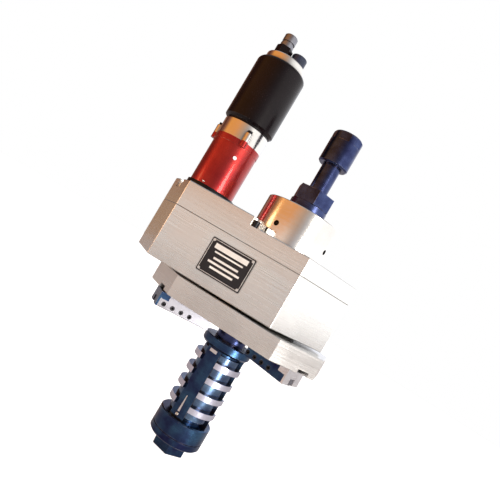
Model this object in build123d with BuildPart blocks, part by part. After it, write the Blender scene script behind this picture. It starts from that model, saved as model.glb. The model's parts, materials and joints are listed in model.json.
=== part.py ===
from build123d import *
import os
from math import acos, cos, pi, radians, sin, sqrt, tan

os.makedirs("parts", exist_ok=True)

# Portable end-preparation machine for pipes, held in the bore of the pipe by an expanding mandrel.
# Millimetres. +Z runs up the spindle axis, the origin is the middle of the lower guide ring, +X points
# away from the air motor and -Y is the front, where the rating plate is.

# ---- clearances ----
gap = 0.3            # between faces of different bodies
fit = 0.05           # running fit of a shaft in its bearing
seat = 0.2           # loose seat of a fixed piece in its pocket

# ---- mandrel ----
guide_r, guide_height, guide_edge = 56.0, 48.0, 2.0
collar_r, collar_low_edge, collar_high_edge = 53.0, 4.0, 1.5
guide_groove, guide_groove_z = 1.2, -9.0
end_nut_flats, end_nut_height = 64.0, 26.0
core_length, core_r, core_bore_gap, land_root = 152.0, 35.0, 1.0, 5.0
core_slot_low, core_slot_high = 3.5, 5.0
land_r, land_key_low, land_key_high, land_key_length, land_key_rise = 47.0, 4.5, 1.5, 34.0, 13.0
land_bar_width, land_bar_height, land_bar_drop, land_key_depth, land_key_proud = 16.0, 6.0, 3.0, 2.0, 0.6
collar_height = 19.0
shaft_r, rod_r, shaft_step_below_cover, shaft_edge = 32.0, 20.0, 50.0, 2.0
nut_edge, feed_nut_edge = 2.0, 1.0
draw_r, draw_travel, draw_end_recess = 8.0, 28.0, 12.0
cone_small_r, cone_slope, cone_pitch_gap, cone_low_gap, cone_high_gap = 10.0, 0.25, 2.0, 6.0, 4.0
jaw_count, jaw_angle, jaw_half_angle, jaw_side_gap = 3, -43.0, 40.0, 0.5
jaw_base_r, jaw_out_r, jaw_base_thickness, jaw_end_gap = 36.0, 52.0, 5.0, 7.0
jaw_stem_half, jaw_stem_foot, jaw_stem_gap, jaw_stem_sink, jaw_bridge = 12.0, 4.0, 0.5, 1.0, 12.0
rib_count, rib_height, rib_low_gap, rib_high_gap = 4, 11.5, 22.0, 21.0

# ---- tool head ----
neck_gap = 31.0
plate_left, plate_right, plate_half_width, plate_chamfer = 196.0, 181.0, 130.0, 78.0
plate_thickness, plate_angle, plate_edge, plate_bore_gap, quill_seat = 41.0, -3.5, 1.2, 2.0, 8.0
tool_angles, tool_ends, tool_screw_starts = (212.0, 332.0, 92.0), (179.0, 165.0, 172.0), (109.0, 70.0, 90.0)
arm_margin, arm_half_width, arm_height, arm_edge = 1.0, 28.0, 28.0, 1.0
tongue_half_width, tongue_height, slide_inward, slide_end_gap = 12.0, 8.0, 5.0, 2.0
holder_length, holder_cap, bar_height = 20.0, 4.0, 16.0
bit_half_width, bit_height, bit_length, bit_reach, bit_recess, bit_edge = 8.0, 13.0, 24.0, 2.0, 2.0, 3.0
set_screw_r, set_screw_depth, set_screw_count, set_screw_pitch, set_screw_rise = 4.7, 9.0, 4, 18.5, 8.0
set_screw_recess, set_screw_key_r, set_screw_key_depth = 1.0, 2.5, 4.0

# ---- gearbox ----
head_gap, seal_height, seal_r = 5.0, 3.0, 110.0
box_half_width, box_front_inset, box_front_right = 130.0, 2.5, 68.5
box_motor_end, box_left_half, box_right, box_right_half = 68.5, 30.0, 166.0, 12.0
box_height, wall, floor_thickness, box_corner_r = 106.0, 12.0, 14.0, 3.0
seam, box_lower_edge = 0.8, 1.5
motor_cover_height, spindle_cover_height = 51.0, 35.0
motor_cover_roof, spindle_cover_roof, drum_clearance = 20.0, 12.0, 1.5
cover_split = -38.0
cover_screw_r, cover_screw_height, cover_screw_key_r, cover_screw_key = 6.5, 13.0, 3.5, 6.0
pocket_r, pocket_depth, pocket_inset, step_screw_back = 10.5, 18.0, 7.0, 9.5
end_pocket_r, end_pocket_inset, end_pocket_share = 20.0, 10.0, 0.56
flush_screw_r, flush_screw_height, flush_screw_key_r, flush_screw_key = 5.0, 6.0, 2.5, 3.0
flush_screw_inset, flush_screw_left, flush_screw_right = 6.0, 14.0, 10.0
label_width, label_height, label_thickness, label_corner_r = 91.0, 66.5, 1.2, 2.0
label_x, label_z_above_bottom, label_rivet_inset, label_rivet_r = -56.0, 56.0, 4.5, 1.6
label_rivet_rim, label_rivet_head = 1.0, 1.0

# ---- gears ----
module, pressure_angle, backlash = 3.0, 20.0, 0.3
spindle_teeth, idler_teeth, pinion_teeth = 60, 28, 17
gear_face, gear_above_floor, gear_addendum, gear_dedendum, flank_steps = 26.0, 14.0, 1.0, 1.25, 4
fine_module, sun_teeth, planet_teeth = 1.5, 18, 18
ring_teeth = sun_teeth + 2 * planet_teeth
planet_face, planet_pin_r = 24.0, 5.0
quill_r, quill_bore_gap, quill_top_drop, seal_lip_gap = 45.0, 0.3, 6.0, 2.0
bearing_width, bearing_outer_r, bearing_drop = 16.0, 60.0, 4.0
axle_r, axle_collar, carrier_shaft_r, carrier_disc_r, carrier_disc_height = 15.0, 6.0, 14.0, 37.0, 8.0
pinion_bearing_r, pinion_boss, pinion_bearing_gap, stage_gap, stage_overrun = 30.0, 8.0, 2.0, 2.0, 4.0
low_bearing_rise, high_bearing_drop, planet_count = 10.0, 30.0, 3

# ---- air motor ----
red_r, red_height, red_wall, red_flange_height = 50.5, 117.0, 8.0, 12.5
chrome_r, chrome_height, lug_r, lug_reach, lug_height = 51.5, 34.5, 7.5, 56.0, 18.0
lug_count, lug_angle, lug_screw_head_r, lug_screw_head, lug_screw_key_r = 3, -61.0, 5.5, 6.0, 2.5
lug_pocket_extra = 2.0
lock_ring_r, lock_ring_height = 50.0, 5.0
motor_r, motor_height, motor_shoulder, motor_edge, motor_wall = 57.0, 147.0, 10.0, 5.0, 11.0
liner_wall, rotor_r, rotor_shaft_r, end_plate_height, end_plate_gap = 9.0, 30.0, 9.0, 12.0, 2.0
rotor_end_gap, vane_count, vane_thickness, vane_tip_gap, vane_root, vane_rise = 1.0, 5, 3.0, 1.5, 15.0, 5.0
cap_r, cap_height, cap_edge, port_angle, inlet_offset, exhaust_offset = 46.0, 16.0, 3.0, 20.0, -17.5, 20.0
inlet_hex_flats, inlet_hex_height, nipple_r, nipple_height = 33.0, 26.0, 15.0, 29.0
nipple_bore, inlet_passage_r = 8.0, 6.0
nipple_edge, nipple_groove_rise, nipple_groove_height, nipple_groove_depth = 2.0, 8.0, 5.0, 2.0
exhaust_r, exhaust_height, exhaust_edge, plug_r, plug_reach, plug_z = 17.5, 27.0, 3.0, 4.0, 2.5, 91.0

# ---- feed ----
thrust_height, thrust_rim, drum_r, drum_height, drum_edge = 1.0, 8.0, 80.5, 79.5, 1.5
drum_recess_r, drum_recess_height = 53.5, 15.0
tommy_r, tommy_depth, tommy_z, tommy_angle, tommy_count = 5.5, 25.0, 29.0, -109.0, 4
feed_collar_r, feed_collar_height, feed_nut_flats, feed_nut_height = 40.0, 20.5, 73.0, 30.5
rod_showing, knob_r, knob_height, knob_hex_flats, knob_hex_height = 62.0, 32.5, 70.5, 61.0, 18.0
knob_cup_depth, knob_edge, rod_end_above_cup, knob_bore_extra = 12.0, 3.0, 19.0, 2.0

# ---- which way the hexagons point ----
end_nut_angle, feed_nut_angle, knob_angle = -78.0, -75.0, -65.5

# ---- levels, all measured up from the guide ring's middle ----
guide_top = guide_height / 2
core_top = guide_top + core_length
collar_top = core_top + collar_height
plate_bottom = collar_top + neck_gap
plate_top = plate_bottom + plate_thickness
box_bottom = plate_top + head_gap
box_top = box_bottom + box_height
motor_cover_top = box_top + motor_cover_height
spindle_cover_top = box_top + spindle_cover_height
drum_bottom = spindle_cover_top + thrust_height + gap
drum_top = drum_bottom + drum_height
feed_collar_top = drum_top + feed_collar_height
feed_nut_top = feed_collar_top + feed_nut_height
knob_bottom = feed_nut_top + rod_showing
shaft_step = spindle_cover_top - shaft_step_below_cover
gear_bottom = box_bottom + floor_thickness + gear_above_floor
red_top = motor_cover_top + red_height
flange_top = red_top + red_flange_height
chrome_top = flange_top + chrome_height
motor_bottom = chrome_top + lock_ring_height
motor_top = motor_bottom + motor_height
cap_top = motor_top + cap_height
planet_bottom = flange_top + (chrome_height - planet_face) / 2

# ---- cones, ribs and tool arms, from the room that the core leaves ----
cone_height = (core_length - cone_low_gap - cone_high_gap - cone_pitch_gap - draw_travel) / 2
cone_big_r = cone_small_r + cone_height * cone_slope
cone_1_bottom = guide_top + cone_low_gap
cone_2_bottom = cone_1_bottom + cone_height + cone_pitch_gap
rib_pitch = (core_length - rib_low_gap - rib_high_gap - rib_height) / (rib_count - 1)
rod_end = knob_bottom + knob_cup_depth + rod_end_above_cup
arm_inner_r = max(guide_r, jaw_out_r + draw_travel * cone_slope) + slide_inward + arm_margin

# ---- gear centres ----
idler_x = -module * (spindle_teeth + idler_teeth) / 2
motor_x = idler_x - module * (idler_teeth + pinion_teeth) / 2
box_left = motor_x - box_motor_end
box_front_left = motor_x + box_front_inset
planet_orbit = fine_module * (sun_teeth + planet_teeth) / 2
jaw_angles = [jaw_angle + 360 / jaw_count * i for i in range(jaw_count)]


def save(piece, label):
    """Label one finished piece and write its file."""
    piece.part.label = label
    export_step(piece.part, f"parts/{label}.step")


def level(z, x=0.0, y=0.0, angle=0.0):
    """A horizontal plane at height z, with its own X turned by angle."""
    return Plane(origin=(x, y, z), x_dir=(cos(radians(angle)), sin(radians(angle)), 0), z_dir=(0, 0, 1))


def upright(angle, across=0.0):
    """A vertical plane through the spindle axis: X runs out along angle, Y runs up."""
    out = Vector(cos(radians(angle)), sin(radians(angle)), 0)
    side = Vector(sin(radians(angle)), -cos(radians(angle)), 0)
    return Plane(origin=side * across, x_dir=out, z_dir=side)


def wedge(half_angle, reach):
    """Inside a sketch, keep only the sector within half_angle of its X axis."""
    side = reach * tan(radians(half_angle))
    Polygon((0, 0), (reach, -side), (reach, side), align=None, mode=Mode.INTERSECT)


def tube(label, outer, inner, low, high, x=0.0):
    """A plain ring between two heights."""
    with BuildPart() as ring:
        with BuildSketch(level(low, x)):
            Circle(outer)
            Circle(inner, mode=Mode.SUBTRACT)
        extrude(amount=high - low)
    save(ring, label)


# ---- gear teeth ----
def involute(r, base_r):
    """The angle that an involute has turned through at radius r."""
    return sqrt((r / base_r) ** 2 - 1) - acos(base_r / r)


def tooth_outline(teeth, size, tip_r, root_r, thickness, phase):
    """Points round a gear: involute flanks, straight across each tip and root."""
    pitch_r = size * teeth / 2
    base_r = pitch_r * cos(radians(pressure_angle))
    half = thickness / (2 * pitch_r) + involute(pitch_r, base_r)
    start_r = max(base_r, root_r)
    flank = [start_r + (tip_r - start_r) * i / flank_steps for i in range(flank_steps + 1)]
    side = [(r, half - involute(r, base_r)) for r in flank]
    if root_r < base_r:
        side.insert(0, (root_r, half))
    one_tooth = [(r, -angle) for r, angle in side] + [(r, angle) for r, angle in reversed(side)]
    points = []
    for i in range(teeth):
        turn = radians(phase) + 2 * pi * i / teeth
        points += [(r * cos(turn + a), r * sin(turn + a)) for r, a in one_tooth]
    return points


def outer_teeth(teeth, size, phase):
    """The outline of an external gear, thinned by half the backlash."""
    pitch_r = size * teeth / 2
    thickness = pi * size / 2 - backlash / 2
    return tooth_outline(teeth, size, pitch_r + gear_addendum * size, pitch_r - gear_dedendum * size,
                         thickness, phase)


def inner_teeth(teeth, size, phase):
    """The outline of the hole in a ring gear, widened by half the backlash."""
    pitch_r = size * teeth / 2
    thickness = pi * size / 2 + backlash / 2
    return tooth_outline(teeth, size, pitch_r + gear_dedendum * size, pitch_r - gear_addendum * size,
                         thickness, phase)


def gear(label, teeth, size, bore, low, height, x=0.0, y=0.0, phase=0.0):
    """A spur gear with a plain bore."""
    with BuildPart() as wheel:
        with BuildSketch(level(low, x, y)):
            Polygon(*outer_teeth(teeth, size, phase), align=None)
            Circle(bore, mode=Mode.SUBTRACT)
        extrude(amount=height)
    save(wheel, label)


# ==== mandrel, the piece that stays still in the pipe ====
def make_guide_ring():
    with BuildPart() as ring:
        with BuildSketch(level(-guide_top)):
            Circle(guide_r)
            Circle(draw_r + gap, mode=Mode.SUBTRACT)
        extrude(amount=guide_height)
        chamfer(ring.edges().filter_by(GeomType.CIRCLE).sort_by(SortBy.RADIUS)[-2:], guide_edge)
        with BuildSketch(level(guide_groove_z - guide_groove)):
            Circle(guide_r)
            Circle(guide_r - guide_groove, mode=Mode.SUBTRACT)
        extrude(amount=2 * guide_groove, mode=Mode.SUBTRACT)
    save(ring, "guide_ring")


def make_end_nut():
    with BuildPart() as nut:
        with BuildSketch(level(-guide_top - end_nut_height, angle=end_nut_angle)):
            RegularPolygon(end_nut_flats / 2, 6, major_radius=False)
        extrude(amount=end_nut_height)
        chamfer(nut.faces().sort_by(Axis.Z)[0].edges(), nut_edge)
    save(nut, "end_nut")


def land_plane(angle):
    """A plane at the bottom of the key slots of one land, facing out, with its X across and its Y up."""
    out = Vector(cos(radians(angle)), sin(radians(angle)), 0)
    across = Vector(-sin(radians(angle)), cos(radians(angle)), 0)
    return Plane(origin=out * (land_r - land_key_depth), x_dir=across, z_dir=out)


def land_key_outline():
    """Inside a sketch, the tapered key low on a land and the cross bar near its top."""
    low = guide_top + land_key_rise
    Polygon((-land_key_low / 2, low), (land_key_low / 2, low), (land_key_high / 2, low + land_key_length),
            (-land_key_high / 2, low + land_key_length), align=None)
    with Locations((0, core_top - land_bar_drop - land_bar_height / 2)):
        Rectangle(land_bar_width, land_bar_height)


def make_core():
    slot_low, slot_high = cone_1_bottom + core_slot_low, cone_2_bottom + cone_height + core_slot_high
    with BuildPart() as core:
        with BuildSketch(level(guide_top)):
            Circle(core_r)
        extrude(amount=core_length)
        for angle in jaw_angles:
            with BuildSketch(level(guide_top, angle=angle + 180 / jaw_count)):
                Circle(land_r)
                Circle(core_r - land_root, mode=Mode.SUBTRACT)
                wedge(180 / jaw_count - jaw_half_angle - jaw_side_gap, 2 * land_r)
            extrude(amount=core_length)
        with BuildSketch(level(guide_top)):
            Circle(cone_big_r + core_bore_gap)
        extrude(amount=core_length, mode=Mode.SUBTRACT)
        for angle in jaw_angles:
            with BuildSketch(level(slot_low, angle=angle)):
                with Locations((land_r / 2, 0)):
                    Rectangle(land_r, 2 * (jaw_stem_half + gap))
            extrude(amount=slot_high - slot_low, mode=Mode.SUBTRACT)
        for angle in jaw_angles:
            with BuildSketch(land_plane(angle + 180 / jaw_count)):
                land_key_outline()
            extrude(amount=2 * land_key_depth, mode=Mode.SUBTRACT)
    save(core, "mandrel_core")


def make_land_keys():
    with BuildPart() as keys:
        for angle in jaw_angles:
            with BuildSketch(land_plane(angle + 180 / jaw_count)):
                land_key_outline()
            extrude(amount=land_key_depth + land_key_proud)
    save(keys, "land_keys")


def make_collar():
    with BuildPart() as collar:
        with BuildSketch(level(core_top)):
            Circle(collar_r)
            Circle(shaft_r, mode=Mode.SUBTRACT)
        extrude(amount=collar_height)
        chamfer(collar.faces().sort_by(Axis.Z)[0].edges().sort_by(SortBy.RADIUS)[-1:], collar_low_edge)
        chamfer(collar.faces().sort_by(Axis.Z)[-1].edges().sort_by(SortBy.RADIUS)[-1:], collar_high_edge)
    save(collar, "mandrel_collar")


def make_shaft():
    with BuildPart() as shaft:
        with BuildSketch(level(core_top)):
            Circle(shaft_r)
        extrude(amount=shaft_step - core_top)
        with BuildSketch(level(shaft_step)):
            Circle(rod_r)
        extrude(amount=knob_bottom + knob_cup_depth - shaft_step)
        with BuildSketch(level(core_top)):
            Circle(draw_r + gap)
        extrude(amount=knob_bottom + knob_cup_depth - core_top, mode=Mode.SUBTRACT)
        widest = shaft.edges().filter_by(GeomType.CIRCLE).group_by(SortBy.RADIUS)[-1]
        chamfer(widest.sort_by(Axis.Z)[-1], shaft_edge)
    save(shaft, "mandrel_shaft")


# ==== draw rod, its cones, the jaws and the knob ====
def make_draw_rod():
    with BuildPart() as rod:
        with BuildSketch(level(-guide_top + draw_end_recess)):
            Circle(draw_r)
        extrude(amount=rod_end + guide_top - draw_end_recess)
    save(rod, "draw_rod")


def make_draw_cones():
    with BuildPart() as cones:
        with BuildSketch(Plane.XZ):
            for low in (cone_1_bottom, cone_2_bottom):
                Polygon((draw_r, low), (cone_big_r, low), (cone_small_r, low + cone_height),
                        (draw_r, low + cone_height), align=None)
        revolve(axis=Axis.Z)
    save(cones, "draw_cones")


def make_jaw(number, angle):
    bottom = guide_top + jaw_end_gap
    length = core_length - 2 * jaw_end_gap
    face_r = cone_big_r + gap
    tip_r = cone_small_r + gap
    stem_root = jaw_base_r + jaw_stem_sink
    with BuildPart() as jaw:
        with BuildSketch(level(bottom, angle=angle)):
            Circle(jaw_base_r + jaw_base_thickness)
            Circle(jaw_base_r, mode=Mode.SUBTRACT)
            wedge(jaw_half_angle, 2 * jaw_out_r)
        extrude(amount=length)
        for i in range(rib_count):
            with BuildSketch(level(guide_top + rib_low_gap + rib_pitch * i, angle=angle)):
                Circle(jaw_out_r)
                Circle(jaw_base_r, mode=Mode.SUBTRACT)
                wedge(jaw_half_angle, 2 * jaw_out_r)
            extrude(amount=rib_height)
        with BuildSketch(upright(angle)):
            for low, above in ((cone_1_bottom, cone_pitch_gap - jaw_stem_gap), (cone_2_bottom, 0)):
                foot, slope_top = low + jaw_stem_foot, low + cone_height
                head = slope_top + above
                Polygon((face_r - jaw_stem_foot * cone_slope, foot), (tip_r, slope_top), (tip_r, head),
                        (stem_root, head), (stem_root, foot), align=None)
            with Locations(((face_r + stem_root) / 2, cone_2_bottom)):
                Rectangle(stem_root - face_r, jaw_bridge)
        extrude(amount=jaw_stem_half, both=True)
    save(jaw, f"jaw_{number}")


def make_knob():
    top = knob_bottom + knob_height
    with BuildPart() as knob:
        with BuildSketch(level(knob_bottom)):
            Circle(knob_r)
        extrude(amount=knob_height)
        chamfer(knob.edges().filter_by(GeomType.CIRCLE), knob_edge)
        with BuildSketch(level(top - knob_hex_height, angle=knob_angle)):
            Circle(2 * knob_r)
            RegularPolygon(knob_hex_flats / 2, 6, major_radius=False, mode=Mode.SUBTRACT)
        extrude(amount=knob_hex_height, mode=Mode.SUBTRACT)
        with BuildSketch(level(knob_bottom)):
            Circle(rod_r + gap)
        extrude(amount=knob_cup_depth + gap, mode=Mode.SUBTRACT)
        with BuildSketch(level(knob_bottom)):
            Circle(draw_r + fit)
        extrude(amount=rod_end + draw_travel + knob_bore_extra - knob_bottom, mode=Mode.SUBTRACT)
    save(knob, "clamp_knob")


# ==== gearbox shell ====
def box_plan(inset=0.0):
    """Inside a sketch, the eight-sided plan of the gearbox, pulled in by inset."""
    Polygon((box_front_left, -box_half_width), (box_front_right, -box_half_width),
            (box_right, -box_right_half), (box_right, box_right_half),
            (box_front_right, box_half_width), (box_front_left, box_half_width),
            (box_left, box_left_half), (box_left, -box_left_half), align=None)
    if inset:
        offset(amount=-inset, kind=Kind.INTERSECTION)


def make_gearbox():
    with BuildPart() as box:
        with BuildSketch(level(box_bottom)):
            box_plan()
        extrude(amount=box_height)
        fillet(box.edges().filter_by(Axis.Z), box_corner_r)
        chamfer(box.faces().sort_by(Axis.Z)[-1].edges(), seam)
        with BuildSketch(level(box_bottom + floor_thickness)):
            box_plan(wall)
        extrude(amount=box_height - floor_thickness, mode=Mode.SUBTRACT)
        with BuildSketch(level(box_bottom)):
            Circle(bearing_outer_r)
        extrude(amount=floor_thickness, mode=Mode.SUBTRACT)
        with BuildSketch(level(box_bottom + floor_thickness, motor_x)):
            Circle(pinion_bearing_r + pinion_boss)
            Circle(pinion_bearing_r, mode=Mode.SUBTRACT)
        extrude(amount=gear_above_floor - pinion_bearing_gap)
        chamfer(box.faces().sort_by(Axis.Z)[0].edges().filter_by(GeomType.LINE), box_lower_edge)
    save(box, "gearbox_housing")


def end_screw_spots():
    """Centres of the two screws that stand behind the slanted walls at the motor end."""
    run = Vector(box_left - box_front_left, box_half_width - box_left_half, 0)
    inward = Vector(run.Y, -run.X, 0).normalized()
    spot = Vector(box_front_left, -box_half_width, 0) + run * end_pocket_share + inward * end_pocket_inset
    return [(spot.X, spot.Y), (spot.X, -spot.Y)]


def step_screw_spots():
    """Centres of the two screws at the step between the covers."""
    return [(cover_split - step_screw_back, side * (box_half_width - pocket_inset)) for side in (-1, 1)]


def flush_screw_spots():
    """Centres of the lower cover's flush screws."""
    return [(x, side * (box_half_width - flush_screw_inset)) for side in (-1, 1)
            for x in (cover_split + flush_screw_left, box_front_right - flush_screw_right)]


def make_cover(label, side, low_x, high_x, height, roof, bore_x, bore_r):
    top = box_top + height
    boss_r = bore_r + wall
    with BuildPart() as cover:
        with BuildSketch(level(box_top)):
            box_plan()
            with Locations(((low_x + high_x) / 2, 0)):
                Rectangle(high_x - low_x, 2 * box_half_width, mode=Mode.INTERSECT)
        extrude(amount=height)
        corners = cover.edges().filter_by(Axis.Z)
        fillet(corners.filter_by(lambda edge: abs(edge.center().X - cover_split) > seam), box_corner_r)
        chamfer(cover.faces().sort_by(Axis.Z)[-1].edges(), 2 * seam)
        chamfer(cover.faces().sort_by(Axis.Z)[0].edges(), seam)
        with BuildSketch(level(box_top)):
            box_plan(wall)
            with Locations(((low_x + high_x) / 2, 0)):
                Rectangle(high_x - low_x - 2 * wall, 2 * box_half_width, mode=Mode.INTERSECT)
        extrude(amount=height - roof, mode=Mode.SUBTRACT)
        with BuildSketch(level(box_top, bore_x)):
            Circle(boss_r)
        extrude(amount=height)
        with BuildSketch(level(box_top, bore_x)):
            Circle(bore_r)
        extrude(amount=height, mode=Mode.SUBTRACT)
        if side == "motor":
            with BuildSketch(level(box_top)):
                Circle(bearing_outer_r + wall)
            extrude(amount=height, mode=Mode.SUBTRACT)
            with BuildSketch(level(spindle_cover_top)):
                Circle(drum_r + drum_clearance)
            extrude(amount=height, mode=Mode.SUBTRACT)
            for spots, radius in ((end_screw_spots(), end_pocket_r), (step_screw_spots(), pocket_r)):
                with BuildSketch(level(top - pocket_depth)):
                    with Locations(*spots):
                        Circle(radius)
                extrude(amount=pocket_depth, mode=Mode.SUBTRACT)
        else:
            with BuildSketch(level(top - flush_screw_height)):
                with Locations(*flush_screw_spots()):
                    Circle(flush_screw_r)
            extrude(amount=flush_screw_height, mode=Mode.SUBTRACT)
    save(cover, label)


def make_cover_screws():
    tall = (motor_cover_top - pocket_depth, end_screw_spots() + step_screw_spots(),
            cover_screw_r, cover_screw_height, cover_screw_key_r, cover_screw_key)
    flush = (spindle_cover_top - flush_screw_height, flush_screw_spots(),
             flush_screw_r, flush_screw_height, flush_screw_key_r, flush_screw_key)
    with BuildPart() as screws:
        for seat_z, spots, radius, height, key_r, key_depth in (tall, flush):
            with BuildSketch(level(seat_z)):
                with Locations(*spots):
                    Circle(radius)
            extrude(amount=height)
            with BuildSketch(level(seat_z + height - key_depth)):
                with Locations(*spots):
                    RegularPolygon(key_r, 6, major_radius=False)
            extrude(amount=key_depth, mode=Mode.SUBTRACT)
    save(screws, "cover_screws")


def make_seal_plate():
    tube("lower_seal_plate", seal_r, quill_r + seal_lip_gap, box_bottom - seal_height, box_bottom)


def label_plane(depth):
    """The rating plate's plane on the front wall, standing depth in front of it."""
    return Plane(origin=(label_x, -box_half_width - depth, box_bottom + label_z_above_bottom),
                 x_dir=(1, 0, 0), z_dir=(0, -1, 0))


def make_rating_plate():
    corner_x = label_width / 2 - label_rivet_inset
    corner_z = label_height / 2 - label_rivet_inset
    with BuildPart() as plate:
        with BuildSketch(label_plane(0)):
            RectangleRounded(label_width, label_height, label_corner_r)
            with GridLocations(2 * corner_x, 2 * corner_z, 2, 2):
                Circle(label_rivet_r, mode=Mode.SUBTRACT)
        extrude(amount=label_thickness)
    save(plate, "rating_plate")
    with BuildPart() as rivets:
        with BuildSketch(label_plane(0)):
            with GridLocations(2 * corner_x, 2 * corner_z, 2, 2):
                Circle(label_rivet_r)
        extrude(amount=label_thickness)
        with BuildSketch(label_plane(label_thickness)):
            with GridLocations(2 * corner_x, 2 * corner_z, 2, 2):
                Circle(label_rivet_r + label_rivet_rim)
        extrude(amount=label_rivet_head)
    save(rivets, "plate_rivets")


# ==== spindle, tool plate and gear train ====
def make_quill():
    tube("spindle_quill", quill_r, shaft_r + quill_bore_gap, plate_bottom + quill_seat,
         spindle_cover_top - quill_top_drop)


def make_bearings():
    upper = spindle_cover_top - bearing_width - bearing_drop
    with BuildPart() as bearings:
        for low, height in ((box_bottom, floor_thickness), (upper, bearing_width)):
            with BuildSketch(level(low)):
                Circle(bearing_outer_r)
                Circle(quill_r + fit, mode=Mode.SUBTRACT)
            extrude(amount=height)
    save(bearings, "spindle_bearings")


def make_idler_axle():
    with BuildPart() as axle:
        with BuildSketch(level(box_bottom + floor_thickness, idler_x)):
            Circle(axle_r)
        extrude(amount=box_height - floor_thickness)
        with BuildSketch(level(box_bottom + floor_thickness, idler_x)):
            Circle(axle_r + axle_collar)
        extrude(amount=gear_above_floor - gap)
    save(axle, "idler_axle")


def make_tool_plate():
    with BuildPart() as plate:
        with BuildSketch(level(plate_bottom, angle=plate_angle)) as outline:
            with Locations(((plate_right - plate_left) / 2, 0)):
                Rectangle(plate_left + plate_right, 2 * plate_half_width)
            chamfer(outline.vertices(), plate_chamfer)
        extrude(amount=plate_thickness)
        chamfer(plate.faces().sort_by(Axis.Z)[-1].edges(), plate_edge)
        chamfer(plate.faces().sort_by(Axis.Z)[0].edges(), plate_edge)
        with BuildSketch(level(plate_bottom)):
            Circle(shaft_r + plate_bore_gap)
        extrude(amount=plate_thickness, mode=Mode.SUBTRACT)
        with BuildSketch(level(plate_bottom + quill_seat)):
            Circle(quill_r)
        extrude(amount=plate_thickness - quill_seat, mode=Mode.SUBTRACT)
        for angle in tool_angles:
            with BuildSketch(level(plate_bottom, angle=angle)):
                with Locations((arm_inner_r - slide_inward - slide_end_gap + plate_left, 0)):
                    Rectangle(2 * plate_left, 2 * (tongue_half_width + gap))
            extrude(amount=tongue_height + gap, mode=Mode.SUBTRACT)
    save(plate, "tool_plate")


# ==== tool slides ====
def block(angle, start, end, half_width, low, height, mode=Mode.ADD):
    """Inside a part, a bar that lies along angle from start to end."""
    with BuildSketch(level(low, angle=angle)) as outline:
        with Locations(((start + end) / 2, 0)):
            Rectangle(end - start, 2 * half_width)
    extrude(outline.sketch, amount=height, mode=mode)


def make_tool(number, angle, end, screw_start):
    arm_top = plate_bottom - gap
    arm_bottom = arm_top - arm_height
    bar_top = arm_bottom + bar_height
    screw_z = arm_bottom + set_screw_rise
    screw_spots = [(screw_start + set_screw_pitch * i, screw_z) for i in range(set_screw_count)]
    with BuildPart() as arm:
        block(angle, arm_inner_r, end - holder_cap, arm_half_width, arm_bottom, bar_height)
        chamfer(arm.faces().sort_by(Axis.Z)[0].edges(), arm_edge)
        block(angle, arm_inner_r, end - holder_length, arm_half_width, bar_top, arm_height - bar_height)
        block(angle, arm_inner_r, end - holder_length, tongue_half_width, arm_top, tongue_height)
        block(angle, end - bit_length, end, bit_half_width, arm_bottom, bit_height, Mode.SUBTRACT)
        for side in (-1, 1):
            with BuildSketch(upright(angle, side * (arm_half_width - set_screw_depth))):
                with Locations(*screw_spots):
                    Circle(set_screw_r)
            extrude(amount=side * set_screw_depth, mode=Mode.SUBTRACT)
    save(arm, f"tool_slide_{number}")
    with BuildPart() as screws:
        for side in (-1, 1):
            with BuildSketch(upright(angle, side * (arm_half_width - set_screw_depth))):
                with Locations(*screw_spots):
                    Circle(set_screw_r)
            extrude(amount=side * (set_screw_depth - set_screw_recess))
            key_bottom = arm_half_width - set_screw_recess - set_screw_key_depth
            with BuildSketch(upright(angle, side * key_bottom)):
                with Locations(*screw_spots):
                    RegularPolygon(set_screw_key_r, 6, major_radius=False)
            extrude(amount=side * set_screw_key_depth, mode=Mode.SUBTRACT)
    save(screws, f"tool_screws_{number}")
    with BuildPart() as holder:
        block(angle, end - holder_length, end, arm_half_width, bar_top, arm_height - bar_height)
        block(angle, end - holder_cap, end, arm_half_width, arm_bottom, arm_height)
        block(angle, end - holder_cap, end, bit_half_width, arm_bottom, bit_height, Mode.SUBTRACT)
    save(holder, f"tool_holder_{number}")
    with BuildPart() as bit:
        block(angle, end - bit_length, end - bit_recess, bit_half_width, arm_bottom - bit_reach,
              bit_height + bit_reach)
        chamfer(bit.faces().sort_by(Axis.Z)[0].edges().sort_by(SortBy.LENGTH)[:2], bit_edge)
    save(bit, f"tool_bit_{number}")


# ==== motor stack: reduction housing, planet stage, air motor ====
def lug_spots():
    """Centres of the lugs round the motor axis."""
    turns = [radians(lug_angle + 360 / lug_count * i) for i in range(lug_count)]
    return [(lug_reach * cos(turn), lug_reach * sin(turn)) for turn in turns]


def make_red_housing():
    with BuildPart() as housing:
        with BuildSketch(level(motor_cover_top, motor_x)):
            Circle(red_r)
        extrude(amount=red_height)
        with BuildSketch(level(red_top, motor_x)):
            Circle(chrome_r)
            with Locations(*lug_spots()):
                Circle(lug_r)
        extrude(amount=red_flange_height)
        with BuildSketch(level(motor_cover_top, motor_x)):
            Circle(red_r - red_wall)
        extrude(amount=red_height + red_flange_height, mode=Mode.SUBTRACT)
    save(housing, "reduction_housing")


def make_gear_ring():
    with BuildPart() as ring:
        with BuildSketch(level(flange_top, motor_x)):
            Circle(chrome_r)
        extrude(amount=chrome_height)
        with BuildSketch(level(flange_top, motor_x)):
            with Locations(*lug_spots()):
                Circle(lug_r)
        extrude(amount=lug_height)
        with BuildSketch(level(flange_top + lug_height, motor_x)):
            with Locations(*lug_spots()):
                Circle(lug_screw_head_r + seat)
        extrude(amount=lug_screw_head + lug_pocket_extra, mode=Mode.SUBTRACT)
        with BuildSketch(level(flange_top, motor_x)):
            Polygon(*inner_teeth(ring_teeth, fine_module, 180 / ring_teeth), align=None)
        extrude(amount=chrome_height, mode=Mode.SUBTRACT)
    save(ring, "ring_gear_housing")


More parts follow.
